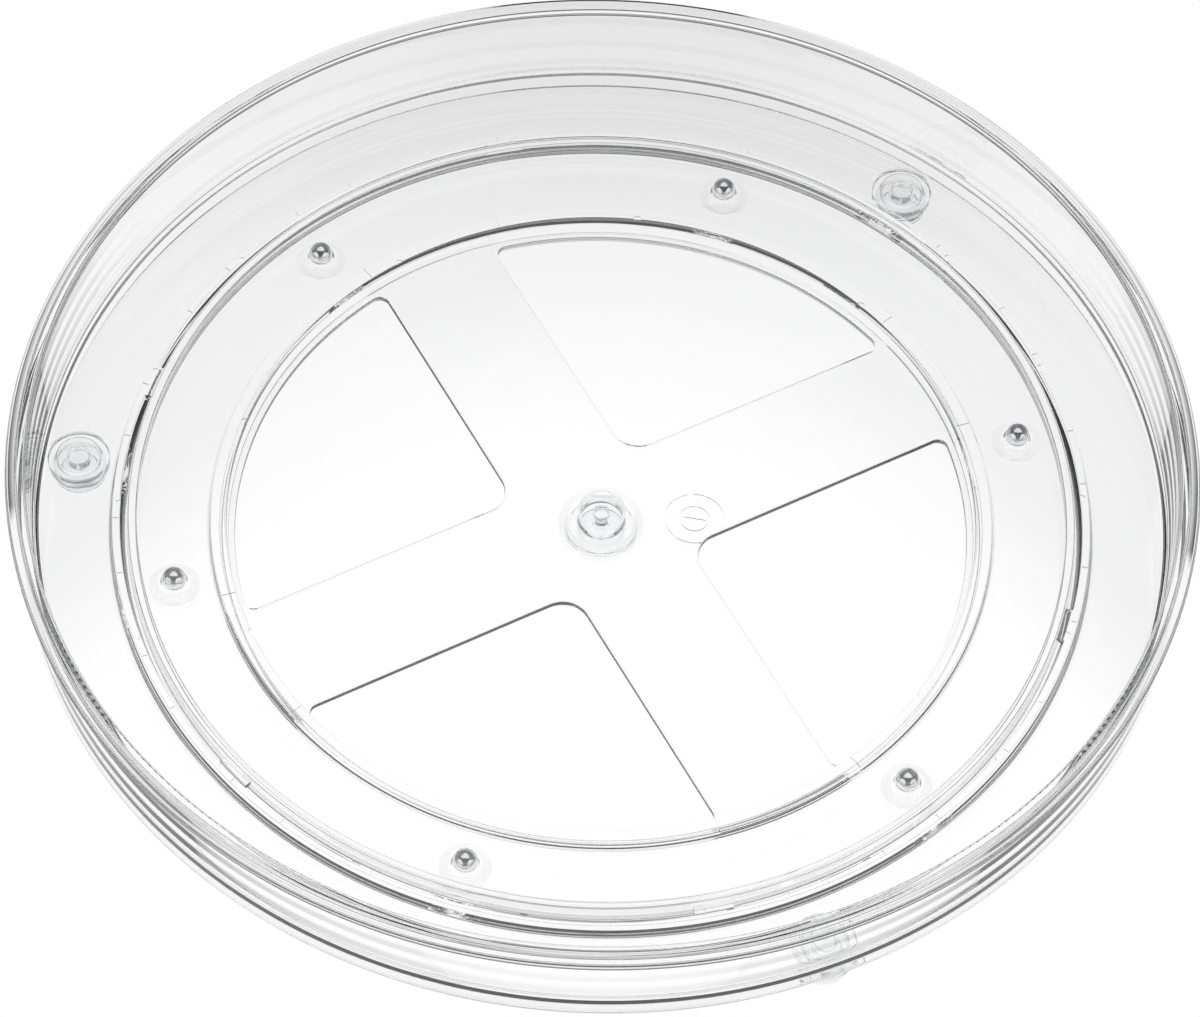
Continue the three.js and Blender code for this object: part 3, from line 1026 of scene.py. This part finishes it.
# ---- studio -------------------------------------------------------------------------
@dataclass
class Studio:
    """A pale light table with painted light and shade for what the plastic bends, a soft overhead
    light with dark surroundings, and the camera.
    """

    focal_mm: float = 127.68
    elevation: float = 54.546
    distance_mm: float = 1110.4
    roll: float = 2.152
    aim_mm: tuple[float, float] = (-0.45, -0.21)
    table_size: float = 3.0
    # Painted shade on the table for rays other than the camera's: it darkens towards the back.
    fall_start: float = 0.05
    fall_end: float = 0.24
    painted_shade_back_tone: float = 0.74
    # Painted light on the table for rays other than the camera's: two pools of light about as wide
    # as the turntable, a painted shadow ring just outside them and a half-bright painted level
    # further out.
    painted_light_pools: tuple[tuple[float, float], ...] = ((-0.022, 0.155), (0.0306, 0.156))
    pool_edge: float = 0.003
    painted_shadow_rest: float = 0.02
    room_start: float = 0.18
    room_end: float = 0.30
    painted_room_light_tone: float = 0.6
    light_edge_curve: float = 2.3
    light_edge_dip: float = 0.07
    front_start: float = -0.1
    front_end: float = -0.4
    front_shade: float = 0.5
    box_direction: tuple[float, float, float] = (0.77, -0.6, 0.22)
    box_edge: tuple[float, float] = (0.84, 0.87)
    sky: tuple[tuple[float, str], ...] = (
        (0.0, "#040405"), (0.35, "#101113"), (0.60, "#46484B"), (0.75, "#94969A"),
        (0.783, "#A8AAAD"), (0.803, "#FFFFFF"))

    def light_table(self) -> bpy.types.Object:
        """Makes the pale floor, which is plain white to the eye.

        What the clear plastic bends towards it sees painted light instead: a painted pool of light
        about as wide as the turntable, painted shade that makes it softer towards the back, a
        painted shadow just outside it and a half-bright painted level further out. That painted
        light and shade is what draws the plastic's edges as dark lines.

        Returns:
            The table's top.
        """
        material = bpy.data.materials.new("opal_acrylic_light_table_painted_light")
        tree = empty_tree(material)
        place = add_node(tree, "ShaderNodeTexCoord")
        parts = add_node(tree, "ShaderNodeSeparateXYZ", links={0: place.outputs["Object"]})
        # Painted shade: the table's light falls off towards the back for rays other than the
        # camera's.
        fall = add_node(tree, "ShaderNodeMapRange", interpolation_type="SMOOTHSTEP",
                        values={"From Min": self.fall_start, "From Max": self.fall_end,
                                "To Min": 1.0, "To Max": self.painted_shade_back_tone},
                        links={"Value": parts.outputs["Y"]})
        # Painted light and shadow: two pools of light with a painted shadow ring round them, and a
        # half-bright painted level further out.
        near, far = [self.pool(tree, place.outputs["Object"], shift, radius)
                     for shift, radius in self.painted_light_pools]
        reach = add_node(tree, "ShaderNodeVectorMath", operation="LENGTH",
                         links={0: place.outputs["Object"]})
        room = add_node(tree, "ShaderNodeMapRange",
                        values={"From Min": self.room_start, "From Max": self.room_end,
                                "To Min": 0.0, "To Max": self.painted_room_light_tone},
                        links={"Value": reach.outputs["Value"]})
        pool = maths(tree, "MAXIMUM", maths(tree, "MAXIMUM", near, far), room.outputs[0])
        lit = maths(tree, "MULTIPLY", fall.outputs[0], pool)
        # The camera sees plain white; only other rays see the painted light and shade.
        seen = add_node(tree, "ShaderNodeLightPath")
        level = maths(tree, "MAXIMUM", lit, seen.outputs["Is Camera Ray"])
        glow = add_node(tree, "ShaderNodeEmission", values={"Color": linear("#FFFFFF")},
                        links={"Strength": level})
        add_node(tree, "ShaderNodeOutputMaterial", links={"Surface": glow.outputs[0]})
        half = self.table_size
        mesh = bpy.data.meshes.new("light_table")
        mesh.from_pydata([(-half, -half, 0), (half, -half, 0), (half, half, 0), (-half, half, 0)],
                         [], [[0, 1, 2, 3]])
        mesh.materials.append(material)
        table = placed("light_table", mesh)
        return table

    def pool(self, tree: bpy.types.NodeTree, place: bpy.types.NodeSocket, shift: float,
             radius: float) -> bpy.types.NodeSocket:
        """Adds a round painted pool of light with a narrow soft edge, and painted shadow outside
        it, to the table's nodes.

        Args:
            tree: the table's nodes.
            place: the socket with the point's place on the table.
            shift: how far behind the axis the pool's centre is, in metres.
            radius: where the light starts to fall, in metres.

        Returns:
            The socket with the painted pool's level, which is 1 inside it and nearly 0, a painted
            shadow, outside.
        """
        shifted = add_node(tree, "ShaderNodeVectorMath", operation="SUBTRACT",
                           values={1: (0.0, shift, 0.0)}, links={0: place})
        reach = add_node(tree, "ShaderNodeVectorMath", operation="LENGTH",
                         links={0: shifted.outputs["Vector"]})
        level = add_node(tree, "ShaderNodeMapRange", interpolation_type="SMOOTHSTEP",
                         values={"From Min": radius, "From Max": radius + self.pool_edge,
                                 "To Min": 1.0, "To Max": self.painted_shadow_rest},
                         links={"Value": reach.outputs["Value"]})
        return level.outputs[0]

    def surroundings(self) -> None:
        """Sets a world that is plain white to the eye.

        What the turntable bends or mirrors sees a wide soft light overhead, dark sides, and two
        soft panels at the front left and right.
        """
        world = bpy.data.worlds.new("soft_studio")
        bpy.context.scene.world = world
        tree = empty_tree(world)
        place = add_node(tree, "ShaderNodeTexCoord")
        parts = add_node(tree, "ShaderNodeSeparateXYZ", links={0: place.outputs["Generated"]})
        side = maths(tree, "POWER", parts.outputs["X"], 2.0)
        curve = maths(tree, "MULTIPLY", side, self.light_edge_curve)
        dip = maths(tree, "MINIMUM", curve, self.light_edge_dip)
        front = add_node(tree, "ShaderNodeMapRange",
                         values={"From Min": self.front_start, "From Max": self.front_end,
                                 "To Min": 0.0, "To Max": self.front_shade},
                         links={"Value": parts.outputs["Y"]})
        lower = maths(tree, "ADD", dip, front.outputs[0])
        height = maths(tree, "SUBTRACT", parts.outputs["Z"], lower)
        ramp = add_node(tree, "ShaderNodeValToRGB", links={"Fac": height})
        elements = ramp.color_ramp.elements
        elements[0].position, elements[1].position = self.sky[0][0], self.sky[-1][0]
        for spot, _ in self.sky[1:-1]:
            elements.new(spot)
        for element, (_, tone) in zip(elements, self.sky):
            element.color = linear(tone)
        mirrored = add_node(tree, "ShaderNodeCombineXYZ",
                            links={"X": maths(tree, "ABSOLUTE", parts.outputs["X"]),
                                   "Y": parts.outputs["Y"],
                                   "Z": parts.outputs["Z"]})
        towards = add_node(tree, "ShaderNodeVectorMath", operation="DOT_PRODUCT",
                           values={1: self.box_direction}, links={0: mirrored.outputs[0]})
        panel = add_node(tree, "ShaderNodeMapRange", interpolation_type="SMOOTHSTEP",
                         values={"From Min": self.box_edge[0], "From Max": self.box_edge[1]},
                         links={"Value": towards.outputs["Value"]})
        boxed = add_node(tree, "ShaderNodeMix", data_type="RGBA",
                         values={7: linear("#FFFFFF")},
                         links={0: panel.outputs[0], 6: ramp.outputs["Color"]})
        seen = add_node(tree, "ShaderNodeLightPath")
        mixed = add_node(tree, "ShaderNodeMix", data_type="RGBA", values={7: (1, 1, 1, 1)},
                         links={0: seen.outputs["Is Camera Ray"], 6: boxed.outputs[2]})
        light = add_node(tree, "ShaderNodeBackground", values={"Strength": 1.0},
                         links={"Color": mixed.outputs[2]})
        add_node(tree, "ShaderNodeOutputWorld", links={"Surface": light.outputs[0]})

    def camera(self) -> None:
        """Puts the camera at its viewing angle, aimed at the middle of the ball circle."""
        lens = bpy.data.cameras.new("camera")
        lens.lens, lens.sensor_width = self.focal_mm, 36.0
        low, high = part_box("ball_1")
        rise, roll = math.radians(self.elevation), math.radians(self.roll)
        back = Vector((0, -math.cos(rise), math.sin(rise)))
        right = Vector((1, 0, 0))
        up = back.cross(right)
        turned_right = right * math.cos(roll) + up * math.sin(roll)
        turned_up = up * math.cos(roll) - right * math.sin(roll)
        aim = Vector((self.aim_mm[0] * MM, self.aim_mm[1] * MM, (low.z + high.z) / 2))
        place = aim + back * self.distance_mm * MM
        camera = placed("camera", lens)
        axes = Matrix((turned_right, turned_up, back)).transposed().to_4x4()
        camera.matrix_world = Matrix.Translation(place) @ axes
        bpy.context.scene.camera = camera

    def build(self) -> None:
        """Sets the floor, the light, the camera and how many times light may bounce."""
        self.camera()
        self.light_table()
        self.surroundings()
        scene = bpy.context.scene
        scene.view_settings.view_transform = "Standard"
        scene.cycles.max_bounces = 32
        scene.cycles.transmission_bounces = 32
        scene.cycles.glossy_bounces = 8


def main() -> None:
    """Builds the studio and every sub-assembly."""
    logging.basicConfig(level=logging.INFO, format="%(name)s: %(message)s")
    Studio().build()
    shop = Workshop()
    Tray.from_frame(shop).build()
    Base.from_frame(shop).build()
    BallSet(shop).build()
    OuterFeet(shop).build()
    CentreFoot(shop).build()


if __name__ == "__main__":
    main()
